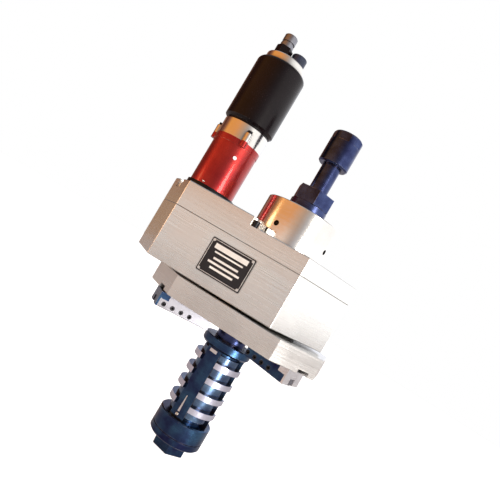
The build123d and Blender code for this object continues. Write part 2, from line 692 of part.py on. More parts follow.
def make_lug_screws():
    with BuildPart() as screws:
        with BuildSketch(level(flange_top + lug_height, motor_x)):
            with Locations(*lug_spots()):
                Circle(lug_screw_head_r)
        extrude(amount=lug_screw_head)
        with BuildSketch(level(flange_top + lug_height + lug_screw_head / 2, motor_x)):
            with Locations(*lug_spots()):
                RegularPolygon(lug_screw_key_r, 6, major_radius=False)
        extrude(amount=lug_screw_head / 2, mode=Mode.SUBTRACT)
    save(screws, "lug_screws")


def make_motor_housing():
    with BuildPart() as housing:
        with BuildSketch(level(motor_bottom, motor_x)):
            Circle(motor_r)
        extrude(amount=motor_height)
        fillet(housing.faces().sort_by(Axis.Z)[-1].edges(), motor_shoulder)
        chamfer(housing.faces().sort_by(Axis.Z)[0].edges(), motor_edge)
        with BuildSketch(level(motor_bottom, motor_x)):
            Circle(motor_r - motor_wall)
        extrude(amount=motor_height, mode=Mode.SUBTRACT)
    save(housing, "motor_housing")


def make_motor_inside():
    bore = motor_r - motor_wall - seat
    plate_1 = motor_bottom + end_plate_gap
    plate_2 = motor_top - end_plate_height - end_plate_gap
    liner_low = plate_1 + end_plate_height
    tube("motor_liner", bore, bore - liner_wall, liner_low, plate_2, motor_x)
    with BuildPart() as plates:
        for low in (plate_1, plate_2):
            with BuildSketch(level(low, motor_x)):
                Circle(bore)
                Circle(rotor_shaft_r + fit, mode=Mode.SUBTRACT)
            extrude(amount=end_plate_height)
    save(plates, "motor_end_plates")
    body_low, body_high = liner_low + rotor_end_gap, plate_2 - rotor_end_gap
    vane_r = bore - liner_wall - vane_tip_gap
    slot_end = rotor_r + vane_rise
    sun_top = planet_bottom + planet_face + stage_overrun
    vane_angles = [360 / vane_count * i for i in range(vane_count)]
    with BuildPart() as rotor:
        with BuildSketch(level(planet_bottom, motor_x)):
            Polygon(*outer_teeth(sun_teeth, fine_module, 0), align=None)
        extrude(amount=planet_face + stage_overrun)
        with BuildSketch(level(sun_top, motor_x)):
            Circle(rotor_shaft_r)
        extrude(amount=plate_2 + end_plate_height - sun_top)
        with BuildSketch(level(body_low, motor_x)):
            Circle(rotor_r)
        extrude(amount=body_high - body_low)
        for angle in vane_angles:
            with BuildSketch(level(body_low, motor_x, angle=angle)):
                with Locations(((vane_root + slot_end) / 2, 0)):
                    Rectangle(slot_end - vane_root, vane_thickness)
            extrude(amount=body_high - body_low, mode=Mode.SUBTRACT)
    save(rotor, "motor_rotor")
    with BuildPart() as vanes:
        for angle in vane_angles:
            with BuildSketch(level(body_low, motor_x, angle=angle)):
                with Locations(((vane_root + vane_r) / 2, 0)):
                    Rectangle(vane_r - vane_root, vane_thickness)
            extrude(amount=body_high - body_low)
    save(vanes, "rotor_vanes")


def make_carrier():
    disc_top = planet_bottom - stage_gap
    shaft_low = box_bottom + floor_thickness + stage_gap
    with BuildPart() as carrier:
        with BuildSketch(level(shaft_low, motor_x)):
            Circle(carrier_shaft_r)
        extrude(amount=disc_top - shaft_low)
        with BuildSketch(level(disc_top - carrier_disc_height, motor_x)):
            Circle(carrier_disc_r)
        extrude(amount=carrier_disc_height)
        with BuildSketch(level(disc_top, motor_x)):
            with PolarLocations(planet_orbit, planet_count):
                Circle(planet_pin_r)
        extrude(amount=planet_face + stage_overrun)
    save(carrier, "planet_carrier")
    gear("drive_pinion", pinion_teeth, module, carrier_shaft_r, gear_bottom, gear_face, motor_x)


def make_shaft_bearings():
    low_bearing = box_bottom + floor_thickness
    bearing_r = red_r - red_wall
    with BuildPart() as bearings:
        with BuildSketch(level(low_bearing, motor_x)):
            Circle(pinion_bearing_r)
            Circle(carrier_shaft_r + fit, mode=Mode.SUBTRACT)
        extrude(amount=gear_above_floor - pinion_bearing_gap)
        for low in (motor_cover_top + low_bearing_rise, red_top - high_bearing_drop):
            with BuildSketch(level(low, motor_x)):
                Circle(bearing_r)
                Circle(carrier_shaft_r + fit, mode=Mode.SUBTRACT)
            extrude(amount=bearing_width)
    save(bearings, "shaft_bearings")


def make_planets():
    for i in range(planet_count):
        turn = 360 / planet_count * i
        x = motor_x + planet_orbit * cos(radians(turn))
        y = planet_orbit * sin(radians(turn))
        phase = turn + 180 / planet_teeth
        gear(f"planet_gear_{i + 1}", planet_teeth, fine_module, planet_pin_r + fit,
             planet_bottom, planet_face, x, y, phase)


def port(offset_along):
    """Where a port stands on the motor's end cap."""
    return (motor_x + offset_along * cos(radians(port_angle)), offset_along * sin(radians(port_angle)))


def make_ports():
    inlet_x, inlet_y = port(inlet_offset)
    exhaust_x, exhaust_y = port(exhaust_offset)
    with BuildPart() as cap:
        with BuildSketch(level(motor_top, motor_x)):
            Circle(cap_r)
        extrude(amount=cap_height)
        fillet(cap.faces().sort_by(Axis.Z)[-1].edges(), cap_edge)
        with BuildSketch(level(motor_top, inlet_x, inlet_y)):
            Circle(inlet_passage_r)
        extrude(amount=cap_height, mode=Mode.SUBTRACT)
    save(cap, "motor_end_cap")
    with BuildPart() as fitting:
        with BuildSketch(level(cap_top, inlet_x, inlet_y, port_angle)):
            RegularPolygon(inlet_hex_flats / 2, 6, major_radius=False)
            Circle(inlet_passage_r, mode=Mode.SUBTRACT)
        extrude(amount=inlet_hex_height)
    save(fitting, "inlet_hex_fitting")
    nipple_low = cap_top + inlet_hex_height
    with BuildPart() as nipple:
        with BuildSketch(level(nipple_low, inlet_x, inlet_y)):
            Circle(nipple_r)
            Circle(nipple_bore, mode=Mode.SUBTRACT)
        extrude(amount=nipple_height)
        chamfer(nipple.faces().sort_by(Axis.Z)[-1].edges().sort_by(SortBy.RADIUS)[-1], nipple_edge)
        with BuildSketch(level(nipple_low + nipple_groove_rise, inlet_x, inlet_y)):
            Circle(nipple_r)
            Circle(nipple_r - nipple_groove_depth, mode=Mode.SUBTRACT)
        extrude(amount=nipple_groove_height, mode=Mode.SUBTRACT)
    save(nipple, "inlet_nipple")
    with BuildPart() as silencer:
        with BuildSketch(level(cap_top, exhaust_x, exhaust_y)):
            Circle(exhaust_r)
        extrude(amount=exhaust_height)
        fillet(silencer.faces().sort_by(Axis.Z)[-1].edges(), exhaust_edge)
    save(silencer, "exhaust_silencer")


def make_housing_plug():
    with BuildPart() as plug:
        out = Vector(cos(radians(lug_angle)), sin(radians(lug_angle)), 0)
        face = out * (red_r + plug_reach) + Vector(motor_x, 0, motor_cover_top + plug_z)
        with BuildSketch(Plane(origin=face, x_dir=(0, 0, 1), z_dir=-out)):
            Circle(plug_r)
        extrude(amount=2 * plug_reach)
        with BuildSketch(level(motor_cover_top, motor_x)):
            Circle(red_r)
        extrude(amount=red_height, mode=Mode.SUBTRACT)
    save(plug, "housing_plug")


# ==== feed drum ====
def make_feed():
    tube("thrust_ring", bearing_outer_r + thrust_rim, quill_r, spindle_cover_top,
         spindle_cover_top + thrust_height)
    with BuildPart() as drum:
        with BuildSketch(level(drum_bottom)):
            Circle(drum_r)
        extrude(amount=drum_height)
        chamfer(drum.edges().filter_by(GeomType.CIRCLE), drum_edge)
        with BuildSketch(level(drum_bottom)):
            Circle(drum_recess_r)
        extrude(amount=drum_recess_height, mode=Mode.SUBTRACT)
        with BuildSketch(level(drum_bottom)):
            Circle(rod_r + gap)
        extrude(amount=drum_height, mode=Mode.SUBTRACT)
        for i in range(tommy_count):
            with BuildSketch(drum_hole_plane(tommy_angle + 360 / tommy_count * i)):
                Circle(tommy_r)
            extrude(amount=tommy_depth + 1, mode=Mode.SUBTRACT)
    save(drum, "feed_drum")
    with BuildPart() as nut:
        with BuildSketch(level(drum_top)):
            Circle(feed_collar_r)
        extrude(amount=feed_collar_height)
        chamfer(nut.edges().filter_by(GeomType.CIRCLE), feed_nut_edge)
        with BuildSketch(level(feed_collar_top, angle=feed_nut_angle)):
            RegularPolygon(feed_nut_flats / 2, 6, major_radius=False)
        extrude(amount=feed_nut_height)
        with BuildSketch(level(drum_top)):
            Circle(rod_r + gap)
        extrude(amount=feed_nut_top - drum_top, mode=Mode.SUBTRACT)
    save(nut, "flanged_feed_nut")


def drum_hole_plane(angle):
    """A plane on the drum's rim that faces in along one tommy-bar hole."""
    out = Vector(cos(radians(angle)), sin(radians(angle)), 0)
    return Plane(origin=out * (drum_r + 1) + Vector(0, 0, drum_bottom + tommy_z),
                 x_dir=(0, 0, 1), z_dir=-out)


make_guide_ring()
make_end_nut()
make_core()
make_land_keys()
make_collar()
make_shaft()
make_draw_rod()
make_draw_cones()
for jaw_number, jaw_turn in enumerate(jaw_angles, 1):
    make_jaw(jaw_number, jaw_turn)
make_knob()
make_gearbox()
make_cover("motor_side_cover", "motor", box_left, cover_split, motor_cover_height, motor_cover_roof,
           motor_x, pinion_bearing_r)
make_cover("spindle_side_cover", "spindle", cover_split, box_right, spindle_cover_height, spindle_cover_roof,
           0, bearing_outer_r)
make_cover_screws()
make_seal_plate()
make_rating_plate()
make_quill()
make_bearings()
make_idler_axle()
make_tool_plate()
for tool_number, tool in enumerate(zip(tool_angles, tool_ends, tool_screw_starts), 1):
    make_tool(tool_number, *tool)
make_red_housing()
make_gear_ring()
make_lug_screws()
tube("lock_ring", lock_ring_r, motor_r - motor_wall, chrome_top, motor_bottom, motor_x)
make_motor_housing()
make_motor_inside()
make_carrier()
make_shaft_bearings()
make_planets()
make_ports()
make_housing_plug()
make_feed()
gear("spindle_gear", spindle_teeth, module, quill_r, gear_bottom, gear_face)
gear("idler_gear", idler_teeth, module, axle_r + fit, gear_bottom, gear_face, idler_x,
     phase=180 / idler_teeth)
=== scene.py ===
import json
import math

import bmesh
import bpy
from mathutils import Matrix, Vector


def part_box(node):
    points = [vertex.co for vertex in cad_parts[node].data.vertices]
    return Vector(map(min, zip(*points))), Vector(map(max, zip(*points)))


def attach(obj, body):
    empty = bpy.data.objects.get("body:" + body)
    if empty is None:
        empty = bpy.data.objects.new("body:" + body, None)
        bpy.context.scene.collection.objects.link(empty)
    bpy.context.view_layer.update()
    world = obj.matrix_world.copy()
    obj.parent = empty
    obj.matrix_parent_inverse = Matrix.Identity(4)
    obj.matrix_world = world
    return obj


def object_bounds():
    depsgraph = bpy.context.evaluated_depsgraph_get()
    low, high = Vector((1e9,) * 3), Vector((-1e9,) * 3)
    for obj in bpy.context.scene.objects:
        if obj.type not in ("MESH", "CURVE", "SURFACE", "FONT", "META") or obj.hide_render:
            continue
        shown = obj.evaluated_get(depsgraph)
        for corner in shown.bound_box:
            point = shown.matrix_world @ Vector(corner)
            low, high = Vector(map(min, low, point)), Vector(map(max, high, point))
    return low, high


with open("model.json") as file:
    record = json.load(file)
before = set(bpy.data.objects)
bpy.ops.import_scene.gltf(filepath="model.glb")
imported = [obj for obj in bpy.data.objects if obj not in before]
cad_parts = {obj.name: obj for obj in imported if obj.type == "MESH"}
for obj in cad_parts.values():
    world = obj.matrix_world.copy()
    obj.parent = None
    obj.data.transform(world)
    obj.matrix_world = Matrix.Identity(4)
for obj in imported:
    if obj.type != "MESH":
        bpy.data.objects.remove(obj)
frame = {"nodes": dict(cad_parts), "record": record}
cad_low, cad_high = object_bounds()
nodes = frame["nodes"]


# ---- places taken from the frame, in metres ----
def centre_of(node):
    low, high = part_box(node)
    return (low + high) / 2


motor_axis = centre_of("motor_housing")
core_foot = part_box("mandrel_core")[0].z
cover_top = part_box("motor_side_cover")[1].z
plate_low, plate_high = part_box("rating_plate")


# ---- camera ----
LENS, SENSOR = 33.3, 36.0
VIEW_AZIMUTH, VIEW_PITCH, VIEW_ROLL = math.radians(12.3), math.radians(1.48), math.radians(30.5)
AXIS_DEPTH, AXIS_SIDE, EYE_HEIGHT = 0.942, 0.0586, 0.351


def make_camera():
    """A nearly level camera in front of the machine, rolled so that the machine leans to the right."""
    ahead = Vector((-math.sin(VIEW_AZIMUTH), math.cos(VIEW_AZIMUTH), 0))
    side = Vector((math.cos(VIEW_AZIMUTH), math.sin(VIEW_AZIMUTH), 0))
    look = ahead * math.cos(VIEW_PITCH) + Vector((0, 0, 1)) * math.sin(VIEW_PITCH)
    above = side.cross(look)
    right = side * math.cos(VIEW_ROLL) + above * math.sin(VIEW_ROLL)
    up = above * math.cos(VIEW_ROLL) - side * math.sin(VIEW_ROLL)
    data = bpy.data.cameras.new("camera")
    data.lens, data.sensor_width = LENS, SENSOR
    camera = bpy.data.objects.new("camera", data)
    bpy.context.scene.collection.objects.link(camera)
    turn = Matrix((right, up, -look)).transposed().to_4x4()
    place = Vector((0, 0, EYE_HEIGHT)) - side * AXIS_SIDE - ahead * AXIS_DEPTH
    camera.matrix_world = Matrix.Translation(place) @ turn
    bpy.context.scene.camera = camera


# ---- material tools ----
def link(tree, output, socket):
    tree.links.new(output, socket)


def stretched_noise(tree, scale, stretch=(1, 1, 1), detail=3.0, rough=0.5):
    """Noise in the machine's own frame, finer along the axes with a larger stretch."""
    coords = tree.nodes.new("ShaderNodeTexCoord")
    mapping = tree.nodes.new("ShaderNodeMapping")
    mapping.inputs["Scale"].default_value = stretch
    noise = tree.nodes.new("ShaderNodeTexNoise")
    noise.inputs["Scale"].default_value = scale
    noise.inputs["Detail"].default_value = detail
    noise.inputs["Roughness"].default_value = rough
    link(tree, coords.outputs["Object"], mapping.inputs["Vector"])
    link(tree, mapping.outputs["Vector"], noise.inputs["Vector"])
    return noise.outputs["Fac"]


def ramp(tree, value, low, high, start=0.0, end=1.0):
    """Map value from low..high to start..end."""
    span = tree.nodes.new("ShaderNodeMapRange")
    for name, number in (("From Min", low), ("From Max", high), ("To Min", start), ("To Max", end)):
        span.inputs[name].default_value = number
    link(tree, value, span.inputs["Value"])
    return span.outputs["Result"]


def mix_colour(tree, factor, first, second):
    """Blend two colours, each a tuple or an output."""
    mix = tree.nodes.new("ShaderNodeMix")
    mix.data_type = "RGBA"
    link(tree, factor, mix.inputs[0])
    for socket, value in ((mix.inputs[6], first), (mix.inputs[7], second)):
        if isinstance(value, tuple):
            socket.default_value = (*value, 1)
        else:
            link(tree, value, socket)
    return mix.outputs[2]


def math_node(tree, operation, first, second):
    """One arithmetic step between outputs or numbers."""
    node = tree.nodes.new("ShaderNodeMath")
    node.operation = operation
    for socket, value in zip(node.inputs, (first, second)):
        if isinstance(value, (int, float)):
            socket.default_value = value
        else:
            link(tree, value, socket)
    return node.outputs["Value"]


# An edge starts to show and shows fully where the rounded normal has turned this far, as cosines.
EDGE_TURN, EDGE_SAMPLES = (0.995, 0.90), 4
BAND_BLEND = 0.0003


def edge_mask(tree, radius):
    """1 along edges within radius, 0 on open faces."""
    bevel = tree.nodes.new("ShaderNodeBevel")
    bevel.samples = EDGE_SAMPLES
    bevel.inputs["Radius"].default_value = radius
    plain = tree.nodes.new("ShaderNodeNewGeometry")
    dot = tree.nodes.new("ShaderNodeVectorMath")
    dot.operation = "DOT_PRODUCT"
    link(tree, bevel.outputs["Normal"], dot.inputs[0])
    link(tree, plain.outputs["Normal"], dot.inputs[1])
    return ramp(tree, dot.outputs["Value"], *EDGE_TURN)


def outside(tree, radius):
    """1 further than radius from the spindle axis, 0 nearer."""
    coords = tree.nodes.new("ShaderNodeTexCoord")
    flat = tree.nodes.new("ShaderNodeVectorMath")
    flat.operation = "MULTIPLY"
    flat.inputs[1].default_value = (1, 1, 0)
    link(tree, coords.outputs["Object"], flat.inputs[0])
    length = tree.nodes.new("ShaderNodeVectorMath")
    length.operation = "LENGTH"
    link(tree, flat.outputs["Vector"], length.inputs[0])
    return ramp(tree, length.outputs["Value"], radius - BAND_BLEND, radius)


# ---- the machine's finishes ----
# How the grain is stretched: fine rings round the upright axis, coarser level lines, and none.
TURNED, MILLED, EVEN = (4, 4, 900), (7, 7, 500), (1, 1, 1)
COAT_ROUGH = 0.08
CLOUD_SPAN, STREAK_SPAN, GLOSS_SPAN = (0.3, 0.7), (0.35, 0.75), (0.25, 0.75)
STREAK_DEPTH = 0.5
# How strongly the outer lands are painted bright: part the ground steel of the lands, part a painted
# highlight.
GROUND_AND_SHEEN_DEPTH = 0.85
SCUFF_SCALE, SCUFF_SPAN = 90.0, (0.42, 0.62)
# Painted shade: ambient occlusion darkens corners, seams and holes towards this dark brown, with this span,
# depth and number of samples.
PAINTED_SHADE_SPAN, PAINTED_SHADE_DEPTH, PAINTED_SHADE_COLOUR, PAINTED_SHADE_SAMPLES = (0.45, 0.95), 0.9, (0.05, 0.035, 0.025), 6
BUMP_DISTANCE = 0.0002


def finish_material(name, colour, metallic, rough, grain=EVEN, grain_scale=1.0, grain_bump=0.15, shade=0.12,
                    patch=14.0, rough_spread=0.10, wear=0.0, wear_and_sheen_colour=(0.6, 0.6, 0.62), edge=0.0012,
                    coat=0.0, tint=None, specular=0.5, painted_shade_reach=0.0, ground_and_sheen_r=0.0):
    """A material with patchy tone, directional grain, uneven gloss and worn edges.

    grain_scale and patch are the fineness of the streaks and the patches. edge is the width of the worn
    edges, and the occlusion width sets how far the painted shade in corners, seams and holes reaches.
    What lies beyond the land radius from the spindle axis is painted bright: part ground steel, part a
    painted highlight.
    """
    material = bpy.data.materials.new(name)
    material.use_nodes = True
    tree = material.node_tree
    shader = tree.nodes["Principled BSDF"]
    shader.inputs["Metallic"].default_value = metallic
    shader.inputs["Specular IOR Level"].default_value = specular
    if coat:
        shader.inputs["Coat Weight"].default_value = coat
        shader.inputs["Coat Roughness"].default_value = COAT_ROUGH
    darker = tuple(c * (1 - shade) for c in colour)
    lighter = tuple(min(1.0, c * (1 + shade)) for c in (tint or colour))
    cloud = stretched_noise(tree, patch, detail=4.0, rough=0.55)
    streak = stretched_noise(tree, grain_scale, grain, rough=0.6)
    tone = mix_colour(tree, ramp(tree, cloud, *CLOUD_SPAN), darker, lighter)
    tone = mix_colour(tree, ramp(tree, streak, *STREAK_SPAN, 0.0, STREAK_DEPTH), tone, darker)
    gloss = ramp(tree, streak, *GLOSS_SPAN, rough - rough_spread / 2, rough + rough_spread / 2)
    gloss = math_node(tree, "ADD", gloss, ramp(tree, cloud, *CLOUD_SPAN, -rough_spread / 3, rough_spread / 3))
    # Painted highlight: beyond the land radius the lands are blended towards the wear colour, part ground
    # steel and part a painted highlight.
    if ground_and_sheen_r:
        ground_and_sheen_mask = math_node(tree, "MULTIPLY", outside(tree, ground_and_sheen_r), GROUND_AND_SHEEN_DEPTH)
        tone = mix_colour(tree, ground_and_sheen_mask, tone, wear_and_sheen_colour)
    if wear:
        scuff = ramp(tree, stretched_noise(tree, SCUFF_SCALE, detail=6.0, rough=0.65), *SCUFF_SPAN)
        worn = math_node(tree, "MULTIPLY", edge_mask(tree, edge), scuff)
        worn = math_node(tree, "MULTIPLY", worn, wear)
        tone = mix_colour(tree, worn, tone, wear_and_sheen_colour)
    # Painted shade: where ambient occlusion finds nearby geometry, corners, seams and holes are darkened.
    if painted_shade_reach:
        shade_occlusion = tree.nodes.new("ShaderNodeAmbientOcclusion")
        shade_occlusion.samples = PAINTED_SHADE_SAMPLES
        shade_occlusion.inputs["Distance"].default_value = painted_shade_reach
        dark = ramp(tree, shade_occlusion.outputs["AO"], *PAINTED_SHADE_SPAN, PAINTED_SHADE_DEPTH, 0.0)
        tone = mix_colour(tree, dark, tone, PAINTED_SHADE_COLOUR)
    link(tree, tone, shader.inputs["Base Color"])
    link(tree, gloss, shader.inputs["Roughness"])
    bump = tree.nodes.new("ShaderNodeBump")
    bump.inputs["Strength"].default_value = grain_bump
    bump.inputs["Distance"].default_value = BUMP_DISTANCE
    link(tree, streak, bump.inputs["Height"])
    link(tree, bump.outputs["Normal"], shader.inputs["Normal"])
    return material


# Entries with an occlusion width get painted shade in their corners, seams and holes.
FINISHES = {
    "cast_silver": dict(
        colour=(0.75, 0.74, 0.72), metallic=1.0, rough=0.28, rough_spread=0.12,
        grain=MILLED, grain_bump=0.07, shade=0.09, patch=11.0,
        wear=0.6, wear_and_sheen_colour=(0.93, 0.91, 0.88), painted_shade_reach=0.003),
    "blued_steel": dict(
        colour=(0.026, 0.024, 0.105), tint=(0.034, 0.085, 0.155), metallic=1.0, rough=0.24, rough_spread=0.14,
        grain=TURNED, grain_bump=0.12, shade=0.40, patch=30.0,
        wear=0.9, wear_and_sheen_colour=(0.34, 0.40, 0.58), edge=0.0010, painted_shade_reach=0.0015),
    "polished_steel": dict(
        colour=(0.80, 0.77, 0.73), metallic=1.0, rough=0.16, rough_spread=0.08,
        grain=TURNED, grain_bump=0.10, shade=0.05, patch=18.0,
        wear=0.6, wear_and_sheen_colour=(0.96, 0.95, 0.93), painted_shade_reach=0.008),
    "ground_steel": dict(
        colour=(0.74, 0.74, 0.77), metallic=1.0, rough=0.30, rough_spread=0.12,
        grain=MILLED, grain_scale=1.4, grain_bump=0.12, shade=0.08, patch=40.0,
        wear=0.5, wear_and_sheen_colour=(0.95, 0.95, 0.95), edge=0.0008),
    "tool_carbide": dict(
        colour=(0.16, 0.16, 0.18), metallic=0.9, rough=0.38, rough_spread=0.12,
        grain_scale=900.0, shade=0.15, patch=60.0,
        wear=0.8, wear_and_sheen_colour=(0.6, 0.6, 0.62), edge=0.0006),
    "gear_steel": dict(
        colour=(0.52, 0.52, 0.54), metallic=1.0, rough=0.32, rough_spread=0.12,
        grain=MILLED, grain_bump=0.12, shade=0.10, patch=25.0,
        wear=0.6, wear_and_sheen_colour=(0.8, 0.8, 0.8), edge=0.0008),
    "bearing_steel": dict(
        colour=(0.74, 0.74, 0.76), metallic=1.0, rough=0.18, rough_spread=0.06,
        grain=TURNED, grain_bump=0.06, shade=0.06, patch=30.0,
        wear=0.4, wear_and_sheen_colour=(0.9, 0.9, 0.9), edge=0.0008),
    "red_anodised": dict(
        colour=(0.34, 0.010, 0.016), tint=(0.38, 0.030, 0.022), metallic=0.80, rough=0.38, coat=0.35,
        grain=TURNED, grain_bump=0.12, shade=0.18, patch=16.0,
        wear=0.6, wear_and_sheen_colour=(0.70, 0.32, 0.26)),
    "black_enamel": dict(
        colour=(0.006, 0.003, 0.004), metallic=0.0, rough=0.24, specular=0.22,
        grain_scale=60.0, grain_bump=0.05, shade=0.30, patch=16.0,
        wear=0.5, wear_and_sheen_colour=(0.12, 0.11, 0.12)),
    "screw_black": dict(
        colour=(0.020, 0.020, 0.024), metallic=0.8, rough=0.36, rough_spread=0.12,
        grain_scale=400.0, shade=0.25, patch=80.0,
        wear=0.8, wear_and_sheen_colour=(0.25, 0.25, 0.27), edge=0.0006),
    "plate_black": dict(
        colour=(0.006, 0.006, 0.010), metallic=0.0, rough=0.45, rough_spread=0.12,
        grain_scale=500.0, grain_bump=0.08, shade=0.25, patch=40.0,
        wear=0.7, wear_and_sheen_colour=(0.35, 0.35, 0.36), edge=0.0008),
    "rivet_aluminium": dict(
        colour=(0.74, 0.73, 0.71), metallic=1.0, rough=0.30,
        grain_scale=500.0, grain_bump=0.1, shade=0.1, patch=80.0,
        wear=0.5, wear_and_sheen_colour=(0.9, 0.9, 0.9), edge=0.0005),
    "seal_rubber": dict(
        colour=(0.014, 0.014, 0.015), metallic=0.0, rough=0.62, rough_spread=0.15,
        grain_scale=700.0, grain_bump=0.25, shade=0.2, patch=30.0,
        wear=0.4, wear_and_sheen_colour=(0.06, 0.06, 0.06), edge=0.001),
    "silencer_plastic": dict(
        colour=(0.020, 0.028, 0.060), metallic=0.1, rough=0.42, rough_spread=0.15,
        grain_scale=900.0, grain_bump=0.4, shade=0.25, patch=60.0,
        wear=0.5, wear_and_sheen_colour=(0.12, 0.13, 0.18), edge=0.001),
    "plate_marks": dict(
        colour=(0.80, 0.80, 0.78), metallic=0.0, rough=0.4,
        grain_scale=500.0, grain_bump=0.08, shade=0.08, patch=60.0),
    # A darker copy of ground steel: painted shade that keeps the brightly lit first tool slide, the same
    # steel as the other slides, from showing white. The inlet nipple shares it.
    "ground_steel_painted_shade": dict(
        colour=(0.26, 0.26, 0.29), metallic=1.0, rough=0.36, rough_spread=0.12,
        grain=MILLED, grain_scale=1.4, grain_bump=0.12, shade=0.08, patch=40.0,
        wear=0.5, wear_and_sheen_colour=(0.70, 0.70, 0.72), edge=0.0008, painted_shade_reach=0.002),
    "blued_upper": dict(
        colour=(0.030, 0.032, 0.105), tint=(0.055, 0.075, 0.17), metallic=1.0, rough=0.24, rough_spread=0.14,
        grain=TURNED, grain_bump=0.12, shade=0.35, patch=30.0,
        wear=0.9, wear_and_sheen_colour=(0.36, 0.40, 0.52), edge=0.0014, painted_shade_reach=0.003),
    # The jaws, whose outer lands are painted bright: part ground steel, part a painted highlight.
    "jaw_lands": dict(
        colour=(0.060, 0.075, 0.18), tint=(0.10, 0.17, 0.26), metallic=1.0, rough=0.22, rough_spread=0.14,
        grain=TURNED, grain_bump=0.12, shade=0.40, patch=30.0,
        wear=0.9, wear_and_sheen_colour=(0.66, 0.67, 0.80), edge=0.0010, painted_shade_reach=0.003, ground_and_sheen_r=0.0515),
    "vane_composite": dict(
        colour=(0.30, 0.17, 0.07), metallic=0.0, rough=0.5, rough_spread=0.15,
        grain=MILLED, grain_bump=0.25, shade=0.2, patch=60.0,
        wear=0.4, wear_and_sheen_colour=(0.45, 0.3, 0.15), edge=0.001),
}

# Nodes that look different from the others in their slot. The darker copy of ground steel on the first tool
# slide and the inlet nipple is painted shade, and the jaws' outer lands carry a painted highlight.
OWN_FINISH = {
    "jaw_lands": ("jaw_1", "jaw_2", "jaw_3"),
    "blued_upper": ("clamp_knob", "flanged_feed_nut", "mandrel_shaft", "draw_rod"),
    "ground_steel_painted_shade": ("tool_slide_1", "inlet_nipple"),
}


def dress_cad(finishes):
    """Give every CAD node the finish of its slot in the record, or its own."""
    wanted = {entry["node"]: entry["material_slot"] for entry in frame["record"]["subparts"]}
    wanted.update({name: finish for finish, group in OWN_FINISH.items() for name in group})
    for name, node in nodes.items():
        node.data.materials.clear()
        node.data.materials.append(finishes[wanted[name]])


# ---- small pieces ----
# Radii that no box in the frame gives: the housing's lugs and the core's lands stand at their own angles.
HOUSING_R, LAND_R = 0.0505, 0.047
BUTTON_STEPS, RING_STEPS = 24, 96
LAND_ANGLES = [math.radians(turn) for turn in (17, 137, 257)]
FOOT_GAP, FOOT_REACH, FOOT_HEIGHT, FOOT_LOW_EDGE, FOOT_HIGH_EDGE = -0.0002, 0.0045, 0.0145, 0.0004, 0.0005
LAND_SCREW_R, LAND_SCREW_HEIGHT, LAND_SCREW_RISE = 0.0034, 0.0016, 0.007
SET_SCREW_R, SET_SCREW_HEIGHT, SET_SCREW_RISE, SET_SCREW_ANGLE = 0.0024, 0.0016, 0.019, math.radians(-96)
PLATE_MARGIN, PLATE_LINE, PLATE_RAISE = 0.0022, 0.0007, 0.00012
# Each row: where it starts and ends across the plate, its level up the plate, both as shares, and its
# thickness.
PLATE_ROWS = ((0.10, 0.90, 0.76, 0.0095), (0.16, 0.84, 0.645, 0.0030), (0.20, 0.80, 0.46, 0.0040),
              (0.12, 0.88, 0.32, 0.0040), (0.22, 0.78, 0.18, 0.0040))


def piece(name, shape, finish, body):
    """A mesh piece made from a bmesh, with its finish, riding on a body."""
    mesh = bpy.data.meshes.new(name)
    shape.to_mesh(mesh)
    shape.free()
    made = bpy.data.objects.new(name, mesh)
    bpy.context.scene.collection.objects.link(made)
    mesh.materials.append(finishes[finish])
    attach(made, body)


def add_turned(shape, profile, place, steps):
    """Turn a profile of (radius, height) points round the Z axis of place, and return its rings."""
    rings = []
    for radius, height in profile:
        points = [Vector((radius * math.cos(a), radius * math.sin(a), height))
                  for a in (2 * math.pi * i / steps for i in range(steps))]
        rings.append([shape.verts.new(place @ point) for point in points])
    for low, high in zip(rings, rings[1:]):
        for i in range(steps):
            face = shape.faces.new((low[i - 1], low[i], high[i], high[i - 1]))
            face.smooth = True
    return rings


def facing(place, out):
    """A place whose Z axis points along out."""
    return Matrix.Translation(place) @ Vector(out).to_track_quat("Z", "Y").to_matrix().to_4x4()


def add_button(shape, radius, height, place):
    """A low domed screw head with a recessed key hole."""
    key = radius * 0.45
    profile = [(radius, -height), (radius, height * 0.35), (radius * 0.9, height * 0.8),
               (radius * 0.7, height), (key, height), (key, height * 0.2)]
    rings = add_turned(shape, profile, place, BUTTON_STEPS)
    shape.faces.new(rings[-1])
    shape.faces.new(list(reversed(rings[0])))


def make_foot_ring():
    """The black ring round the foot of the reduction housing, on the gearbox cover."""
    shape = bmesh.new()
    inner = HOUSING_R + FOOT_GAP
    outer = inner + FOOT_REACH
    profile = [(inner, 0), (outer - FOOT_LOW_EDGE, 0), (outer, FOOT_LOW_EDGE),
               (outer, FOOT_HEIGHT - FOOT_HIGH_EDGE), (outer - FOOT_HIGH_EDGE, FOOT_HEIGHT),
               (inner, FOOT_HEIGHT), (inner, 0)]
    add_turned(shape, profile, Matrix.Translation((motor_axis.x, motor_axis.y, cover_top)), RING_STEPS)
    piece("reduction_housing_foot_ring", shape, "screw_black", "gearbox")


def make_land_screws():
    """A bright screw near the foot of each land of the mandrel."""
    shape = bmesh.new()
    for turn in LAND_ANGLES:
        out = Vector((math.cos(turn), math.sin(turn), 0))
        spot = out * LAND_R + Vector((0, 0, core_foot + LAND_SCREW_RISE))
        add_button(shape, LAND_SCREW_R, LAND_SCREW_HEIGHT, facing(spot, out))
    piece("land_screws", shape, "rivet_aluminium", "mandrel")


def make_set_screw():
    """The small set screw low on the reduction housing."""
    shape = bmesh.new()
    out = Vector((math.cos(SET_SCREW_ANGLE), math.sin(SET_SCREW_ANGLE), 0))
    spot = out * HOUSING_R + Vector((motor_axis.x, motor_axis.y, 0))
    spot.z = cover_top + SET_SCREW_RISE
    add_button(shape, SET_SCREW_R, SET_SCREW_HEIGHT, facing(spot, out))
    piece("housing_set_screw", shape, "rivet_aluminium", "gearbox")


